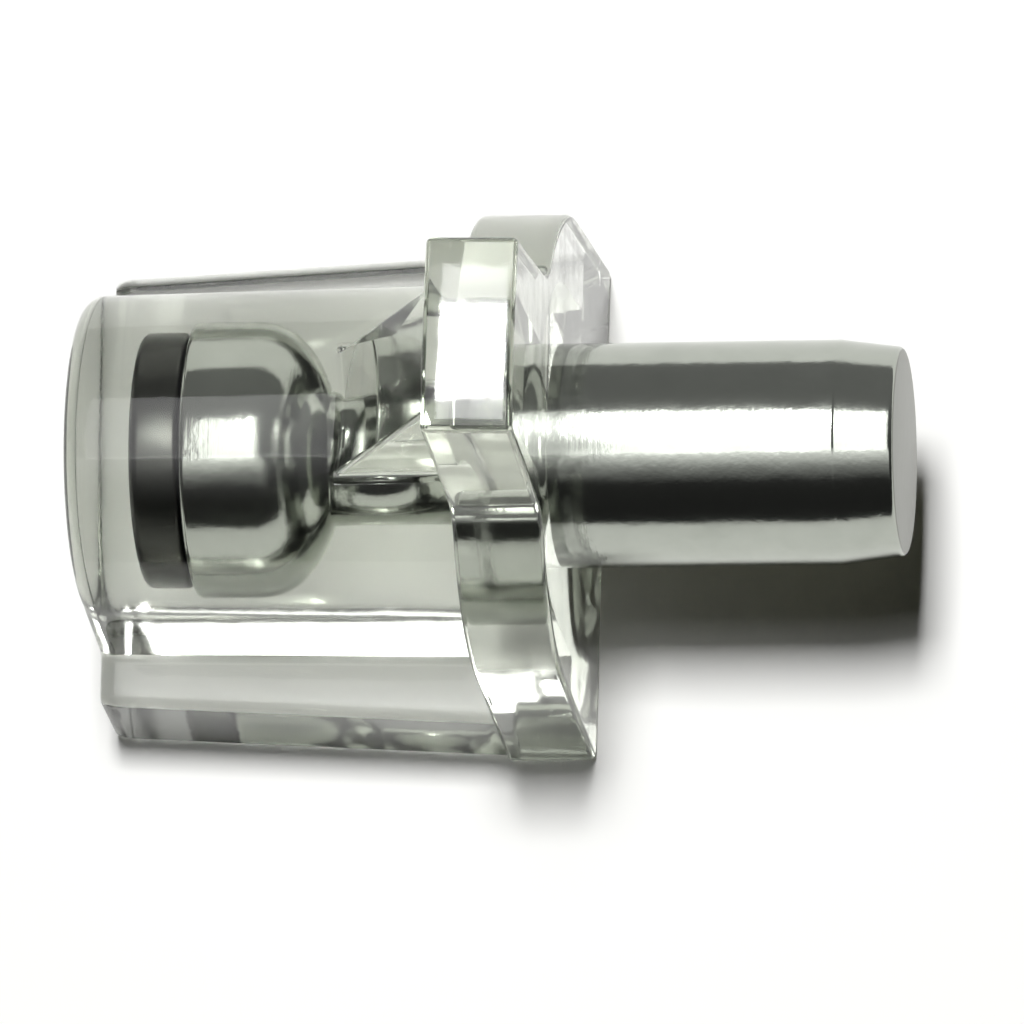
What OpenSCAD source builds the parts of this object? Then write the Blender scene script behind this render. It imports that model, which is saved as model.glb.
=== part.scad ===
/* Shelf support with a steel pin in a clear moulded body.
   It lies on its shelf face, as it would be put down on a table.
   The origin is on the pin's axis, in the plane of the wall face.
   +X runs out along the pin, and +Z points away from the shelf. */

/* [Steel pin] */
// Diameter of the pin where it plugs into the side panel
pin_d = 5; // [4:0.1:6]
// Length of the pin outside the wall face
pin_out = 7.4; // [4:0.1:12]
// Length of the tapered lead at the tip
tip_len = 1.3; // [0.4:0.1:2.5]
// Depth of the taper at the tip, on the radius
tip_cut = 0.18; // [0.05:0.01:0.6]
// Step from the plug in to the shank inside the body, on the radius
shank_step = 0.45; // [0.1:0.05:0.8]
// Length of the shank to the tip of its ball end
shank_len = 3.55; // [2.5:0.05:5]
// Depth of the neck between the ball end and the wall face, on the radius
neck_cut = 1.5; // [0.9:0.05:1.8]
// Length of the stub at the buried end of the shank
stub_len = 1.15; // [0.5:0.05:2.5]
// Step from the shank in to the stub, on the radius
stub_step = 0.15; // [0.05:0.05:0.5]

/* [Clear body] */
// Distance from the wall face to the free end
body_len = 10.95; // [8:0.05:16]
// Height of the pin's axis over the shelf face
axis_h = 4.7; // [4.4:0.1:8]
// Thickness of the plastic over the buried end of the pin
cover_t = 1.3; // [0.5:0.05:3]
// Wall of plastic round the shank, at the free end
barrel_wall = 1.63; // [1:0.01:2.5]
// Draft of the barrel's side, in degrees
barrel_draft = 1; // [0:0.5:2]
// Slope of the skirt below the barrel, in degrees
skirt_slope = 5; // [3:1:14]
// Thickness of the wings
wing_t = 2.5; // [1.5:0.1:3.5]
// Taper of the wings in plan, in degrees a side
wing_taper = 3.2; // [0:0.1:4]
// Radius along the upper edges of the wings
wing_r = 0.3; // [0.1:0.1:0.9]

/* [Flange] */
// Thickness of the flange that bears on the side panel
flange_t = 2; // [1:0.1:4]
// Wall of the flange's disc round the pin
disc_wall = 2.85; // [2.4:0.05:5]
// Distance from the pin's axis to the end of the stem
stem_reach = 9.5; // [8:0.1:14]
// Width of the stem at its end
stem_w = 4.4; // [2:0.1:6]
// Draft of the stem's sides, in degrees
stem_draft = 6; // [0:0.5:8]
// Slope of the sides of the flange and the wings, in degrees
side_slope = 5; // [0:0.5:8]
// Radius in the corners between the stem and the disc
root_r = 1.2; // [0.3:0.1:2]

/* [Rib] */
// Thickness of the rib between the barrel and the stem
rib_w = 2.9; // [1:0.1:4]
// Length of the rib along the barrel
rib_len = 2.7; // [1:0.1:5]
// Distance from the end of the stem down to the top of the rib
rib_drop = 1.2; // [0.3:0.1:2]

/* [Hidden] */
$fn = 96;

pin_r = pin_d / 2;
shank_r = pin_r - shank_step;
stub_r = shank_r - stub_step;
neck_r = pin_r - neck_cut;
// Gap left between the buried pin and the plastic
pin_gap = 0.02;
// Where the pin's buried end, the shank and the middle of its ball end lie
buried_x = cover_t - body_len;
shank_x = buried_x + stub_len;
ball_x = shank_x + shank_len - shank_r;
barrel_r = shank_r + pin_gap + barrel_wall;
wing_top = wing_t - axis_h;
disc_r = pin_r + pin_gap + disc_wall;
// How far a flat side cuts into the round form that it runs into
bite = 0.02;
// Half width of the shelf face at the flange: its side only just cuts into the disc
base_w = (disc_r - bite) / cos(side_slope) + axis_h * tan(side_slope);
// Step from the side of the flange in to the side of the wing
wing_inset = 0.1;
// How far the wings and the rib run on into what carries them
root = 0.5;
// Larger than the whole part, for the pieces that only cut
big = 4 * (body_len + pin_out + stem_reach);

// A solid that is drawn in the Y-Z plane and runs from x0 to x1
module along_x(x0, x1) {
    translate([x0, 0, 0]) rotate([90, 0, 90]) linear_extrude(height = x1 - x0) children();
}

module both_sides() {
    children();
    mirror([0, 1, 0]) children();
}

// Everything below a sloping side and a top, with the edge between them rounded.
// The arc's ends cross the side and the top, as near as can be to a tangent.
module rounded_side(half_w, top, r) {
    lean = tan(side_slope);
    near = r - bite;
    c = [half_w - (top - near + axis_h) * lean - near / cos(side_slope), top - near];
    difference() {
        polygon([[-big, -axis_h], [half_w, -axis_h], [half_w - (top + axis_h) * lean, top],
                 [-big, top]]);
        translate(c) difference() {
            square(2 * r);
            circle(r);
        }
    }
}

// The flat plate under the shelf: both of its sides taper towards the free end
module wings() {
    half_w = base_w - wing_inset;
    intersection_for (side = [0, 1])
        mirror([0, side, 0])
            translate([-flange_t, half_w, 0])
                rotate([0, 0, wing_taper])
                    translate([0, -half_w, 0])
                        along_x(-big, big) rounded_side(half_w, wing_top, wing_r);
}

// One side of the skirt: a flat that runs on down from the side of the drafted barrel
module skirt_side() {
    intersection() {
        rotate([skirt_slope, 0, 0])
            translate([-body_len, barrel_r - bite, 0])
                rotate([0, 0, barrel_draft])
                    translate([-big, -big, -big]) cube([2 * big, big, big]);
        translate([-body_len, 0, -axis_h]) cube([body_len - flange_t + root, big, big]);
    }
}

module barrel() {
    len = body_len - flange_t + root;
    translate([-body_len, 0, 0])
        rotate([0, 90, 0])
            cylinder(h = len, r1 = barrel_r, r2 = barrel_r + len * tan(barrel_draft));
}

// The fillet in the corner between the stem's side and the disc. Its arc ends
// just inside both of them.
module root_fillet() {
    out = [cos(stem_draft), sin(stem_draft)];
    down = [sin(stem_draft), -cos(stem_draft)];
    q = [stem_w / 2, stem_reach] + (root_r - bite) * out;
    reach = disc_r + root_r - bite;
    slide = -q * down - sqrt(pow(q * down, 2) - q * q + reach * reach);
    c = q + slide * down;
    difference() {
        polygon([c - root_r * out, c, c * (disc_r - bite) / reach, [0, disc_r / 2], [0, disc_r]]);
        translate(c) circle(root_r);
    }
}

module flange_outline() {
    foot = stem_w / 2 + stem_reach * tan(stem_draft);
    crown = disc_r / 2;
    crown_w = base_w - (axis_h + crown) * tan(side_slope);
    intersection() {
        union() {
            circle(disc_r);
            polygon([[-stem_w / 2, stem_reach], [stem_w / 2, stem_reach], [foot, 0], [-foot, 0]]);
            root_fillet();
            mirror([1, 0]) root_fillet();
            polygon([[-base_w, -axis_h], [base_w, -axis_h], [crown_w, crown], [-crown_w, crown]]);
        }
        translate([-big, -axis_h]) square([2 * big, big]);
    }
}

module rib() {
    top = stem_reach - rib_drop;
    foot = barrel_r - root;
    translate([0, rib_w / 2, 0])
        rotate([90, 0, 0])
            linear_extrude(height = rib_w)
                polygon([[root - flange_t, top], [-flange_t, top], [-flange_t - rib_len, barrel_r],
                         [-flange_t - rib_len, foot], [root - flange_t, foot]]);
}

// The part of the pin inside the body, in [radius, x]: a stub, a shank with a ball
// end, and a neck with a round shoulder. A gap makes the hollow that it lies in.
module buried_pin(gap) {
    intersection() {
        union() {
            translate([0, buried_x - gap]) square([stub_r + gap, stub_len + shank_r]);
            translate([0, shank_x - gap]) square([shank_r + gap, ball_x - shank_x + gap]);
            translate([0, ball_x]) circle(shank_r + gap);
            translate([0, ball_x]) square([neck_r + gap, -ball_x]);
            translate([neck_r, 0]) circle(neck_cut + gap);
        }
        translate([0, buried_x - gap]) square([big, gap - buried_x]);
    }
}

module clear_body() {
    color("gainsboro", 0.5)
    difference() {
        union() {
            intersection() {
                wings();
                translate([-body_len, -big, -axis_h])
                    cube([body_len - flange_t + root, 2 * big, big]);
            }
            both_sides() skirt_side();
            barrel();
            along_x(-flange_t, 0) flange_outline();
            rib();
        }
        rotate([0, 90, 0]) rotate_extrude() buried_pin(pin_gap);
    }
}

module steel_pin() {
    color("silver")
    rotate([0, 90, 0])
    rotate_extrude() {
        buried_pin(0);
        polygon([[0, 0], [pin_r, 0], [pin_r, pin_out - tip_len], [pin_r - tip_cut, pin_out],
                 [0, pin_out]]);
    }
}

clear_body();
steel_pin();
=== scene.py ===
import math

import bmesh
import bpy
from mathutils import Matrix, Vector


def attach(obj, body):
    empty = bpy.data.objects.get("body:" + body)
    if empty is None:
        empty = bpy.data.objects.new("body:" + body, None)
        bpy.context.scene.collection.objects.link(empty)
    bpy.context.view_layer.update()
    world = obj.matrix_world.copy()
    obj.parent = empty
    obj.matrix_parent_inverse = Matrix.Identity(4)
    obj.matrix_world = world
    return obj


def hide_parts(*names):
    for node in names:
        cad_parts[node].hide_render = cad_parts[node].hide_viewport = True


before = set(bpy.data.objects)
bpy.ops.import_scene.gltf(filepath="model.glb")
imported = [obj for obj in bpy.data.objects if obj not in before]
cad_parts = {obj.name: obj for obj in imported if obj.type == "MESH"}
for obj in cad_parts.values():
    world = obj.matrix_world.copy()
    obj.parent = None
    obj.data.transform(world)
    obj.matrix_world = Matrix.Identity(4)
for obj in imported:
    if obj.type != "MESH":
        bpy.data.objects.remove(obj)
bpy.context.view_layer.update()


# ---------------------------------------------------------------- Steel pin
# One turned steel pin, nickel plated. A stub and a ball-ended shank hold it in the
# moulding. A thin neck joins them to the full-size plug, which starts inside the
# flange and has a tapered lead at its bare end.

MM = 0.001

stub_start, shank_start, ball_x = -9.65, -8.5, -7.0
full_start, taper_start, pin_end = -2.1, 6.05, 7.3995
stub_r, shank_r, neck_r, pin_r, tip_r = 1.9, 2.05, 1.0, 2.5, 2.32
shoulder_round = 0.15
# A fine groove parts the stub from the shank, and a shallow step starts the lead
groove_width, groove_r = 0.02, 1.7
step_width, step_r = 0.06, 2.485
# One more ring on the lead, just short of its rounded end
ring_x, ring_r = 7.2, 2.3455


def round_corners(points, radii, steps=6):
    """A flat outline with an arc of the given radius at each listed corner."""
    out = []
    for i, (x, y) in enumerate(points):
        r = radii.get(i, 0)
        if not r:
            out.append((x, y))
            continue
        p = Vector((x, y))
        a = (Vector(points[i - 1]) - p).normalized()
        b = (Vector(points[(i + 1) % len(points)]) - p).normalized()
        half = a.angle(b) / 2
        c = p + (a + b).normalized() * r / math.sin(half)
        start = p + a * r / math.tan(half) - c
        turn = start.angle_signed(p + b * r / math.tan(half) - c)
        for k in range(steps + 1):
            out.append(tuple(c + Matrix.Rotation(-turn * k / steps, 2) @ start))
    return out


def arc(centre, radius, first, last, steps):
    """Points of an arc between two angles in radians."""
    angles = [first + (last - first) * k / steps for k in range(steps + 1)]
    return [(centre[0] + radius * math.cos(a), centre[1] + radius * math.sin(a))
            for a in angles]


groove_start = shank_start - groove_width
stub = round_corners(
    [(stub_start, 0), (stub_start, stub_r), (groove_start, stub_r),
     (groove_start, groove_r), (shank_start, groove_r), (shank_start, shank_r),
     (ball_x, shank_r)], {1: 0.22, 2: 0.15, 5: 0.12})
ball_end = arc((ball_x, 0), shank_r, math.pi / 2, math.asin(neck_r / shank_r), 24)
shoulder = [(full_start - shoulder_round, neck_r)] + arc(
    (full_start, pin_r - shoulder_round), shoulder_round, math.pi, math.pi / 2, 12)
plug = round_corners(
    [(0, pin_r), (taper_start, pin_r), (taper_start + step_width, step_r),
     (ring_x, ring_r), (pin_end, tip_r), (pin_end, 0)], {1: 0.12, 2: 0.12, 4: 0.12})
pin_profile = stub + ball_end[1:] + shoulder + plug

profile_mesh = bpy.data.meshes.new("pin_profile")
profile_mesh.from_pydata([(x * MM, 0, r * MM) for x, r in pin_profile],
                         [(i, i + 1) for i in range(len(pin_profile) - 1)], [])
pin = bpy.data.objects.new("plated_pin", profile_mesh)
bpy.context.collection.objects.link(pin)


def add(tree, kind, settings=None, links=None, **values):
    """Adds a node, sets its settings and its inputs, and links the rest."""
    node = tree.nodes.new(kind)
    for name, value in (settings or {}).items():
        setattr(node, name, value)
    for name, value in values.items():
        node.inputs[name.replace("_", " ")].default_value = value
    for key, source in (links or {}).items():
        tree.links.new(source, node.inputs[key])
    return node


def linear(hex_colour):
    """An sRGB hex colour as the linear RGBA that the shaders take."""
    parts = [int(hex_colour[i:i + 2], 16) / 255 for i in (0, 2, 4)]
    return tuple(c / 12.92 if c <= 0.04045 else ((c + 0.055) / 1.055) ** 2.4
                 for c in parts) + (1.0,)


# Plated steel: bright nickel over fine turning marks. The plate softens the marks, so
# the reflections keep sharp bands with slightly ragged edges.
plated_steel = bpy.data.materials.new("nickel_plated_steel")
plated_steel.use_nodes = True
t = plated_steel.node_tree
t.nodes.clear()
place = add(t, "ShaderNodeTexCoord")
turned = add(t, "ShaderNodeMapping", links={0: place.outputs["Object"]},
             Scale=(1 / (0.08 * MM), 1 / (3 * MM), 1 / (3 * MM)))
marks = add(t, "ShaderNodeTexNoise", links={0: turned.outputs[0]}, Scale=1.0, Detail=3.0)
dimples = add(t, "ShaderNodeTexNoise", links={0: place.outputs["Object"]},
              Scale=1 / (0.5 * MM), Detail=4.0, Roughness=0.6)
wear = add(t, "ShaderNodeTexNoise", links={0: place.outputs["Object"]},
           Scale=1 / (1.6 * MM), Detail=5.0, Roughness=0.65)
tone = add(t, "ShaderNodeValToRGB", links={0: wear.outputs[0]})
tone.color_ramp.elements[0].position, tone.color_ramp.elements[1].position = 0.3, 0.75
tone.color_ramp.elements[0].color = linear("a8aca4")
tone.color_ramp.elements[1].color = linear("b6bab2")
gloss = add(t, "ShaderNodeMapRange", links={0: wear.outputs[0]},
            From_Min=0.3, From_Max=0.75, To_Min=0.16, To_Max=0.1)
# Both ends of the bar take a duller, darker tone. Part of it is a dull cut finish under
# the thin plate, and part is painted shade: the buried stub is painted dark, and the bare
# end face is painted grey for the shaded card that it faces. They are found by their
# distance from the bar's middle.
bar_middle, half_bar = (pin_end + shank_start) / 2, (pin_end - shank_start) / 2
ends = add(t, "ShaderNodeVectorMath", {"operation": "SUBTRACT"},
           {0: place.outputs["Object"]})
ends.inputs[1].default_value = (bar_middle * MM, 0, 0)
along_bar = add(t, "ShaderNodeSeparateXYZ", links={0: ends.outputs[0]})
off_middle = add(t, "ShaderNodeMath", {"operation": "ABSOLUTE"},
                 {0: along_bar.outputs[0]})
end_finish_and_shade = add(t, "ShaderNodeMapRange", links={0: off_middle.outputs[0]},
          From_Min=(half_bar - 0.03) * MM, From_Max=(half_bar - 0.01) * MM,
          To_Min=0.0, To_Max=1.0)
which_end = add(t, "ShaderNodeMapRange", links={0: along_bar.outputs[0]},
                From_Min=-MM, From_Max=MM, To_Min=0.0, To_Max=1.0)
# The end tones are painted shade over the dull cut finish: dark on the buried stub, grey
# on the bare end face
end_finish_and_shade_tone = add(t, "ShaderNodeValToRGB", links={0: which_end.outputs[0]})
end_finish_and_shade_tone.color_ramp.elements[0].color = linear("454642")
end_finish_and_shade_tone.color_ramp.elements[1].color = linear("7e7f79")
tone_and_end_shade = add(t, "ShaderNodeMix", {"data_type": "RGBA"},
                {"Factor": end_finish_and_shade.outputs[0], 6: tone.outputs[0], 7: end_finish_and_shade_tone.outputs[0]})
dull_gloss = add(t, "ShaderNodeMapRange", links={0: end_finish_and_shade.outputs[0], 3: gloss.outputs[0]},
                 To_Max=0.34)
relief = add(t, "ShaderNodeMath", {"operation": "MULTIPLY_ADD"},
             {0: marks.outputs[0], 2: dimples.outputs[0]})
relief.inputs[1].default_value = 0.25
bump = add(t, "ShaderNodeBump", links={"Height": relief.outputs[0]}, Strength=0.34,
           Distance=0.02 * MM)
steel = add(t, "ShaderNodeBsdfPrincipled",
            links={"Base Color": tone_and_end_shade.outputs[2], "Roughness": dull_gloss.outputs[0],
                   "Normal": bump.outputs[0]}, Metallic=1.0)
add(t, "ShaderNodeOutputMaterial", links={0: steel.outputs[0]})

# The pin is its profile turned about the X axis
turning = bpy.data.node_groups.new("turned_pin", "GeometryNodeTree")
turning.interface.new_socket("Profile", in_out="INPUT", socket_type="NodeSocketGeometry")
around = turning.interface.new_socket("Steps around", in_out="INPUT",
                                      socket_type="NodeSocketInt")
along = turning.interface.new_socket("Points along", in_out="INPUT",
                                     socket_type="NodeSocketInt")
turning.interface.new_socket("Pin", in_out="OUTPUT", socket_type="NodeSocketGeometry")
g_in = add(turning, "NodeGroupInput")
grid = add(turning, "GeometryNodeMeshGrid",
           links={"Vertices X": g_in.outputs[2], "Vertices Y": g_in.outputs[1]},
           Size_X=1.0, Size_Y=1.0)
spot = add(turning, "ShaderNodeSeparateXYZ",
           links={0: add(turning, "GeometryNodeInputPosition").outputs[0]})
last = add(turning, "ShaderNodeMath", {"operation": "SUBTRACT"}, {0: g_in.outputs[2]})
last.inputs[1].default_value = 1.0
share = add(turning, "ShaderNodeMath", {"operation": "ADD"}, {0: spot.outputs[0]})
share.inputs[1].default_value = 0.5
number = add(turning, "ShaderNodeMath", {"operation": "MULTIPLY"},
             {0: share.outputs[0], 1: last.outputs[0]})
row = add(turning, "FunctionNodeFloatToInt", {"rounding_mode": "ROUND"},
          {0: number.outputs[0]})
at = add(turning, "GeometryNodeSampleIndex", {"data_type": "FLOAT_VECTOR"},
         {"Geometry": g_in.outputs[0],
          "Value": add(turning, "GeometryNodeInputPosition").outputs[0],
          "Index": row.outputs[0]})
angle = add(turning, "ShaderNodeMath", {"operation": "MULTIPLY"}, {0: spot.outputs[1]})
angle.inputs[1].default_value = 2 * math.pi
turned_spot = add(turning, "ShaderNodeVectorRotate", {"rotation_type": "X_AXIS"},
                  {"Vector": at.outputs[0], "Angle": angle.outputs[0]})
shaped = add(turning, "GeometryNodeSetPosition",
             links={"Geometry": grid.outputs[0], "Position": turned_spot.outputs[0]})
closed = add(turning, "GeometryNodeMergeByDistance", links={0: shaped.outputs[0]},
             Distance=0.0005 * MM)
smooth = add(turning, "GeometryNodeSetShadeSmooth", links={0: closed.outputs[0]})
real = add(turning, "GeometryNodeRealizeInstances", links={0: smooth.outputs[0]})
coated = add(turning, "GeometryNodeSetMaterial", links={0: real.outputs[0]},
             Material=plated_steel)
add(turning, "NodeGroupOutput", links={0: coated.outputs[0]})

turn = pin.modifiers.new("turning", "NODES")
turn.node_group = turning
# The first and the last copy of the profile lie on each other and are merged, which
# leaves 192 steps
turn[around.identifier] = 193
turn[along.identifier] = len(pin_profile)


def finished(obj, node):
    """Fixes an object's modifiers into a plain mesh that stands for a CAD node."""
    seen = obj.evaluated_get(bpy.context.evaluated_depsgraph_get())
    mesh = bpy.data.meshes.new_from_object(seen)
    obj.modifiers.clear()
    obj.data = mesh
    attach(obj, "root")
    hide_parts(node)
    return mesh


def face_out(mesh):
    """Turns every face outwards."""
    bm = bmesh.new()
    bm.from_mesh(mesh)
    bmesh.ops.recalc_face_normals(bm, faces=bm.faces)
    bm.to_mesh(mesh)
    bm.free()


face_out(finished(pin, "steel_pin"))


# --------------------------------------------------------------- Clear body
# One injection moulding in clear plastic: a drafted barrel on two wings with a flat
# shelf face, a flange with a stem, and a gusset rib. It is moulded round the pin, so
# the plastic lies tight on the steel and fills the space round it.

body_start, flange_start = -10.95, -2.0
axis_h, barrel_r, barrel_draft = 4.7, 3.7, math.radians(1)
skirt_slope, side_slope = math.radians(5), math.radians(5)
wing_top, wing_taper = -2.2, math.radians(3.2)
disc_r, stem_reach, stem_half, stem_draft = 5.37, 9.4995, 2.2, math.radians(6)
land_crown, land_draft = 16.0, math.radians(3.5)
root_r, rib_half, rib_foot, rib_top = 1.2, 1.45, -4.7, 8.3
# The wings stand in a little from the flange, and the wings and the rib run on into
# what carries them
wing_inset, inside_flange, rib_root = 0.1, -1.5, 2.95
# Roundings: along the wings, in the skirt's corner, on the flange's lower corners and
# round the stem's end
wing_r, skirt_r, foot_r, land_r = 0.3, 0.2, 0.25, 0.2
# Edges eased at the free end, on the flange and on the rib, and the fillet at its foot
end_ease, flange_ease, rib_ease, rib_fillet_r = 0.42, 0.14, 0.12, 0.3
# Below this height an outline is the foot, which takes a share of the free end's ease
foot_height, foot_share_at_end = -1.95, 0.3
flange_half = disc_r / math.cos(side_slope) + axis_h * math.tan(side_slope)


def both_halves(half):
    """The full outline from its half on the +Y side, which starts and ends on Y = 0."""
    return half + [(-y, z) for y, z in reversed(half[1:-1])]


def radius_at(x):
    return barrel_r + (x - body_start) * math.tan(barrel_draft)


def long_outline(x):
    """Section of the barrel, skirt and wings at one place along the pin."""
    r = radius_at(x)
    low = flange_half - wing_inset + (x - flange_start) * math.tan(wing_taper)
    high = low - (wing_top + axis_h) * math.tan(side_slope)
    skirt = (r - wing_top * math.sin(skirt_slope)) / math.cos(skirt_slope)
    corners = [(0, -axis_h), (low, -axis_h), (high, wing_top), (skirt, wing_top),
               (r * math.cos(skirt_slope), r * math.sin(skirt_slope))]
    flat = round_corners(corners, {1: wing_r, 2: wing_r, 3: skirt_r})
    return both_halves(flat[:-1] + arc((0, 0), r, skirt_slope, math.pi / 2, 40))


def flange_outline(x):
    """Outline of the flange: the disc, the stem above it and the foot below it. The end
    of the stem is crowned, and drops a little towards the wall face."""
    reach_here = stem_reach - (x - flange_start) * math.tan(land_draft)
    out = Vector((math.cos(stem_draft), math.sin(stem_draft)))
    down = Vector((math.sin(stem_draft), -math.cos(stem_draft)))
    start = Vector((stem_half, stem_reach)) + root_r * out
    reach = disc_r + root_r
    along_stem = -start.dot(down) - math.sqrt(start.dot(down) ** 2 - start.dot(start)
                                              + reach ** 2)
    c = start + along_stem * down
    meet = math.atan2(c.y, c.x)
    foot = round_corners([(0, -axis_h), (flange_half, -axis_h),
                          (disc_r * math.cos(side_slope), disc_r * math.sin(side_slope))],
                         {1: foot_r})
    disc = arc((0, 0), disc_r, side_slope, meet, 40)
    fillet = arc(c, root_r, meet + math.pi, math.pi + stem_draft, 14)
    # The crown starts 0.5 mm in from the stem's side, at about 0.6 of its full drop
    drop = land_crown - math.sqrt(land_crown ** 2 - stem_half ** 2)
    land = round_corners([tuple(c - root_r * out), (stem_half, reach_here - drop),
                          (stem_half - 0.5, reach_here - drop * 0.6)], {1: land_r})
    half_turn = math.asin((stem_half - 0.5) / land_crown)
    crown = arc((0, reach_here - land_crown), land_crown, math.pi / 2 - half_turn,
                math.pi / 2, 10)
    return both_halves(foot[:-1] + disc + fillet[1:-1] + land[:-1] + crown)


def inset(outline, depth, foot_depth):
    """The outline moved inwards by a depth, or by another one on the foot. It runs
    anticlockwise."""
    moved = []
    for i, (x, y) in enumerate(outline):
        p = Vector((x, y))
        a = (p - Vector(outline[i - 1])).normalized()
        b = (Vector(outline[(i + 1) % len(outline)]) - p).normalized()
        na, nb = Vector((-a.y, a.x)), Vector((-b.y, b.x))
        here = foot_depth if y < foot_height else depth
        moved.append(tuple(p + (na + nb) * here / (1 + na.dot(nb))))
    return moved


def loft(name, sections):
    """A closed solid through rings of points with as many points each."""
    bm = bmesh.new()
    rings = [[bm.verts.new(Vector(p) * MM) for p in ring] for ring in sections]
    for one, two in zip(rings, rings[1:]):
        for i in range(len(one)):
            bm.faces.new((one[i - 1], one[i], two[i], two[i - 1]))
    bm.faces.new(reversed(rings[0]))
    bm.faces.new(rings[-1])
    bmesh.ops.recalc_face_normals(bm, faces=bm.faces)
    mesh = bpy.data.meshes.new(name)
    bm.to_mesh(mesh)
    bm.free()
    return bpy.data.objects.new(name, mesh)


def eased(outline_at, start, end, ease_start, ease_end, middle=12, foot_share=1.0):
    """Rings from start to end, with the outline's edges rounded at both of them. The
    foot's edges are rounded by a share of that."""
    rings = []
    for k in range(7):
        a = math.pi / 2 * (1 - k / 6)
        at_x = start + ease_start * (1 - math.sin(a))
        depth = ease_start * (1 - math.cos(a))
        rings.append((at_x, inset(outline_at(at_x), depth, depth * foot_share)))
        if not ease_start:
            break
    for k in range(1, middle):
        at_x = start + ease_start + (end - ease_end - start - ease_start) * k / middle
        rings.append((at_x, outline_at(at_x)))
    for k in range(7):
        a = math.pi / 2 * k / 6
        at_x = end - ease_end * (1 - math.sin(a))
        depth = ease_end * (1 - math.cos(a))
        rings.append((at_x, inset(outline_at(at_x), depth, depth * foot_share)))
        if not ease_end:
            break
    return rings


def along_x(rings):
    return [[(x, y, z) for y, z in ring] for x, ring in rings]


long_form = loft("long_form", along_x(
    eased(long_outline, body_start, inside_flange, end_ease, 0,
          foot_share=foot_share_at_end)))
flange = loft("flange", along_x(
    eased(flange_outline, flange_start, 0, flange_ease, flange_ease, 4)))


def rib_outline(y):
    """Side view of the rib, which is the same right across it."""
    return [(inside_flange, rib_root), (inside_flange, rib_top), (flange_start, rib_top),
            (rib_foot, barrel_r), (rib_foot, rib_root)]


rib = loft("rib", [[(x, y, z) for x, z in ring] for y, ring in
                   eased(rib_outline, -rib_half, rib_half, rib_ease, rib_ease, 2)])


def fillet_strip(name, path, radius, steps=8):
    """A strip that fills the corner between two faces along a path of
    (point, normal of one face, normal of the other). Its back lies buried in both."""
    rings = []
    for point, n1, n2 in path:
        p, n1, n2 = Vector(point), Vector(n1).normalized(), Vector(n2).normalized()
        c = p + (n1 + n2) * radius / (1 + n1.dot(n2))
        ring = [p - (n1 + n2).normalized() * radius * 0.8]
        for k in range(steps + 1):
            ring.append(c - radius * n1.slerp(n2, k / steps))
        rings.append([tuple(v) for v in ring])
    return loft(name, rings)


slope = (rib_top - barrel_r) / (flange_start - rib_foot)
face = Vector((-slope, 0, 1)).normalized()


def foot_x(y):
    """Where the sloping face of the rib comes out of the barrel."""
    x = rib_foot
    for _ in range(20):
        x = rib_foot + (math.sqrt(radius_at(x) ** 2 - y ** 2) - barrel_r) / slope
    return x


def on_barrel(x, y):
    z = math.sqrt(radius_at(x) ** 2 - y ** 2)
    return (x, y, z), (-math.sin(barrel_draft), y / radius_at(x), z / radius_at(x))


# The fillet's path: along one side of the rib, round the corner, across the sloping
# face, and back along the other side as a mirror image
side_path = []
side = Vector((0, -1, 0))
x_corner = foot_x(rib_half)
for k in range(9):
    point, n1 = on_barrel(inside_flange + (x_corner - inside_flange) * k / 8, -rib_half)
    side_path.append((point, n1, side))
for k in range(1, 6):
    point, n1 = on_barrel(x_corner, -rib_half)
    side_path.append((point, n1, side.slerp(face, k / 6)))
face_path = []
for k in range(17):
    y = -rib_half + 2 * rib_half * k / 16
    point, n1 = on_barrel(foot_x(y), y)
    face_path.append((point, n1, face))
other_side = [((x, -y, z), (n1[0], -n1[1], n1[2]), (n2[0], -n2[1], n2[2]))
              for (x, y, z), n1, n2 in reversed(side_path)]
rib_fillet = fillet_strip("rib_fillet", side_path + face_path + other_side, rib_fillet_r)


def joined(base, others, how="UNION"):
    """Joins solids to a first one, or cuts them out of it."""
    for obj in [base] + others:
        if not obj.users_collection:
            bpy.context.collection.objects.link(obj)
    for other in others:
        join = base.modifiers.new("join", "BOOLEAN")
        join.operation, join.solver, join.object = how, "MANIFOLD", other
        seen = base.evaluated_get(bpy.context.evaluated_depsgraph_get())
        mesh = bpy.data.meshes.new_from_object(seen)
        base.modifiers.clear()
        base.data = mesh
        bpy.data.objects.remove(other)
    return base


# The hollow that the pin lies in. Its wall stops a hair inside the steel, so that no
# film of air shows between the two.
hair, hollow_sides = 0.004, 128
buried = [(x, r - hair) for x, r in stub[1:] + ball_end[1:] + shoulder]
hollow_profile = ([(stub_start + hair, buried[0][1])] + buried[1:]
                  + [(0, pin_r - hair), (1, pin_r - hair)])
turns = [2 * math.pi * k / hollow_sides for k in range(hollow_sides)]
hollow = loft("hollow", [[(x, r * math.cos(a), r * math.sin(a)) for a in turns]
                         for x, r in hollow_profile])
body = joined(joined(long_form, [flange, rib, rib_fillet]), [hollow], "DIFFERENCE")
body.name = "moulded_body"

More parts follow.
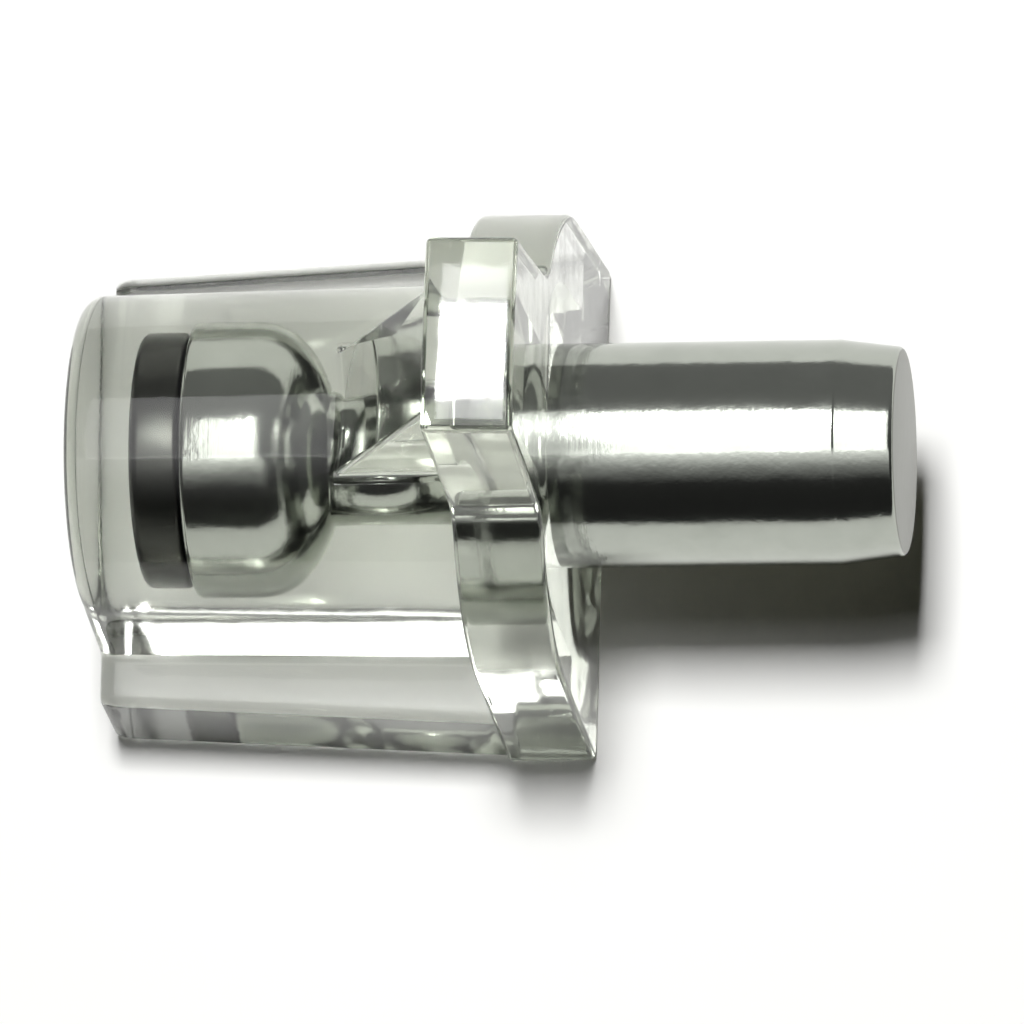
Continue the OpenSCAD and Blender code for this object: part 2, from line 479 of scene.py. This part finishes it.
# Clear plastic: a polished mould gives a glassy skin, and the thick sections show the
# resin's own faint grey-green. The skin waves very slightly where the plastic shrank.
clear_plastic = bpy.data.materials.new("clear_moulded_plastic")
clear_plastic.use_nodes = True
t = clear_plastic.node_tree
t.nodes.clear()
place = add(t, "ShaderNodeTexCoord")
shrink = add(t, "ShaderNodeTexNoise", links={0: place.outputs["Object"]},
             Scale=1 / (2.5 * MM), Detail=2.0)
grain = add(t, "ShaderNodeTexNoise", links={0: place.outputs["Object"]},
            Scale=1 / (0.15 * MM), Detail=3.0)
relief = add(t, "ShaderNodeMath", {"operation": "MULTIPLY_ADD"},
             {0: grain.outputs[0], 2: shrink.outputs[0]})
relief.inputs[1].default_value = 0.04
bump = add(t, "ShaderNodeBump", links={"Height": relief.outputs[0]}, Strength=0.3,
           Distance=0.05 * MM)
skin = add(t, "ShaderNodeMapRange", links={0: grain.outputs[0]},
           From_Min=0.3, From_Max=0.7, To_Min=0.03, To_Max=0.09)
plastic = add(t, "ShaderNodeBsdfPrincipled",
              links={"Roughness": skin.outputs[0], "Normal": bump.outputs[0]},
              Base_Color=(1, 1, 1, 1), IOR=1.49, Transmission_Weight=1.0)
resin = add(t, "ShaderNodeVolumeAbsorption", Color=linear("e7eeda"), Density=50.0)
add(t, "ShaderNodeOutputMaterial", links={0: plastic.outputs[0], 1: resin.outputs[0]})

# Near points that the joining left are merged, and edges over 28 degrees stay sharp
bm = bmesh.new()
bm.from_mesh(body.data)
bmesh.ops.remove_doubles(bm, verts=bm.verts, dist=0.0004 * MM)
for f in bm.faces:
    f.smooth = True
bm.to_mesh(body.data)
bm.free()
body.data.set_sharp_from_angle(angle=math.radians(28))
even = body.modifiers.new("even_shading", "WEIGHTED_NORMAL")
even.keep_sharp = True
even.weight = 60
finished(body, "clear_body")
body.data.materials.clear()
body.data.materials.append(clear_plastic)


# ------------------------------------------------------------ Floor and view
# A white card under the part, a broad softbox and a key lamp overhead, and a dim room
# round it. They are stage, and no part of the product.

# The card lies a hair under the shelf face, so that air shows between the two
floor_z, floor_half = -(axis_h + 0.02) * MM, 0.6
floor_mesh = bpy.data.meshes.new("floor")
floor_mesh.from_pydata(
    [(x * floor_half, y * floor_half, floor_z)
     for x, y in ((-1, -1), (1, -1), (1, 1), (-1, 1))], [], [(0, 1, 2, 3)])
floor = bpy.data.objects.new("floor", floor_mesh)
bpy.context.collection.objects.link(floor)

# Matt white card: it looks white, but light that has already bounced off it once meets
# a darker and warmer tone, so that the part's shadow stays dark and warm.
white_card = bpy.data.materials.new("matt_white_card")
white_card.use_nodes = True
t = white_card.node_tree
t.nodes.clear()
bounce = add(t, "ShaderNodeLightPath")
grain = add(t, "ShaderNodeTexNoise",
            links={0: add(t, "ShaderNodeTexCoord").outputs["Object"]},
            Scale=1 / (1.2 * MM), Detail=3.0)
card_tone = add(t, "ShaderNodeValToRGB", links={0: bounce.outputs["Diffuse Depth"]})
card_tone.color_ramp.elements[0].color = linear("f3f3f1")
card_tone.color_ramp.elements[1].color = linear("b0ad9c")
card_bump = add(t, "ShaderNodeBump", links={"Height": grain.outputs[0]}, Strength=0.2,
                Distance=0.01 * MM)
card = add(t, "ShaderNodeBsdfDiffuse",
           links={0: card_tone.outputs[0], "Normal": card_bump.outputs[0]})
add(t, "ShaderNodeOutputMaterial", links={0: card.outputs[0]})
floor_mesh.materials.append(white_card)

# The camera looks down over the flange's side of the part
view_azimuth, view_elevation, view_roll = map(math.radians, (27.7, 71.5, -0.7))
distance, pixels_across, pixels_per_mm = 300.0, 1024, 44.95
mm_across = pixels_across / pixels_per_mm
# Where the frame's origin falls in the picture, in pixels from its upper left corner
origin_across, origin_down = 574.7, 455.7
back = Vector((math.sin(view_azimuth) * math.cos(view_elevation),
               -math.cos(view_azimuth) * math.cos(view_elevation),
               math.sin(view_elevation)))
level = (Vector((1, 0, 0)) - back * back.x).normalized()
upright = back.cross(level)
right = level * math.cos(view_roll) + upright * math.sin(view_roll)
up = upright * math.cos(view_roll) - level * math.sin(view_roll)
aim = (right * (pixels_across / 2 - origin_across) / pixels_per_mm
       - up * (pixels_across / 2 - origin_down) / pixels_per_mm)
camera_data = bpy.data.cameras.new("camera")
camera_data.sensor_width = 36
camera_data.lens = 36 * distance / mm_across
camera_data.clip_start, camera_data.clip_end = 0.01, 5
camera = bpy.data.objects.new("camera", camera_data)
bpy.context.collection.objects.link(camera)
camera.matrix_world = Matrix.Translation((aim + back * distance) * MM) @ Matrix(
    (right, up, back)).transposed().to_4x4()
bpy.context.scene.camera = camera


def soft_lamp(name, place, width, depth, power=None, radiance=None):
    """A rectangular lamp that faces straight down, with its power in watts or with the
    radiance at which its face shows in a reflection."""
    data = bpy.data.lights.new(name, "AREA")
    data.shape, data.size, data.size_y = "RECTANGLE", width, depth
    data.energy = power if power else radiance * math.pi * width * depth
    lamp = bpy.data.objects.new(name, data)
    bpy.context.collection.objects.link(lamp)
    lamp.location = place
    return lamp


# The broad softbox shows in the steel as its bright band, and doesn't light the card.
# The key lamp lights the card and throws the shadow, and the weaker glow behind it
# softens the edges of its highlights.
softbox = soft_lamp("softbox", (-0.025, 0.064, 0.5), 0.3, 0.397, radiance=2.4)
softbox.visible_diffuse = False
soft_lamp("key_lamp", (-0.005, 0.122, 0.49), 0.09, 0.14, power=2.55)
soft_lamp("key_glow", (-0.005, 0.122, 0.495), 0.09, 0.27, radiance=8)

# The dim room shows in the steel and the plastic, and doesn't light the card. It
# brightens towards +Y, and has a bright strip on the side towards -Y, near the middle.
world = bpy.data.worlds.new("dim_room")
bpy.context.scene.world = world
world.cycles_visibility.diffuse = False
world.use_nodes = True
t = world.node_tree
t.nodes.clear()
place = add(t, "ShaderNodeTexCoord")
axes = add(t, "ShaderNodeSeparateXYZ", links={0: place.outputs["Generated"]})
across = add(t, "ShaderNodeMapRange", links={0: axes.outputs[1]},
             From_Min=-1.0, From_Max=1.0, To_Min=0.0, To_Max=1.0)
room = add(t, "ShaderNodeValToRGB", links={0: across.outputs[0]})
spill = add(t, "ShaderNodeValToRGB", links={0: across.outputs[0]})
room_stops = ((0, 0.02), (0.25, 0.035), (0.55, 0.09), (0.75, 0.18), (1, 0.22))
spill_stops = ((0.15, 0), (0.25, 0.35), (0.335, 1.1), (0.38, 1.4), (0.39, 0))
for ramp, stops in ((room, room_stops), (spill, spill_stops)):
    for k, (at_y, value) in enumerate(stops):
        if k < 2:
            ramp.color_ramp.elements[k].position = at_y
        else:
            ramp.color_ramp.elements.new(at_y)
        ramp.color_ramp.elements[k].color = (value, value, value, 1)
aside = add(t, "ShaderNodeMath", {"operation": "ABSOLUTE"}, {0: axes.outputs[0]})
middle = add(t, "ShaderNodeMapRange", links={0: aside.outputs[0]},
             From_Min=0.35, From_Max=0.6, To_Min=1.0, To_Max=0.0)
room = add(t, "ShaderNodeMath", {"operation": "MULTIPLY_ADD"},
           {0: spill.outputs[0], 1: middle.outputs[0], 2: room.outputs[0]})
glow = add(t, "ShaderNodeBackground", links={0: room.outputs[0]}, Strength=1.0)
add(t, "ShaderNodeOutputWorld", links={0: glow.outputs[0]})

bpy.context.scene.view_settings.view_transform = "Standard"
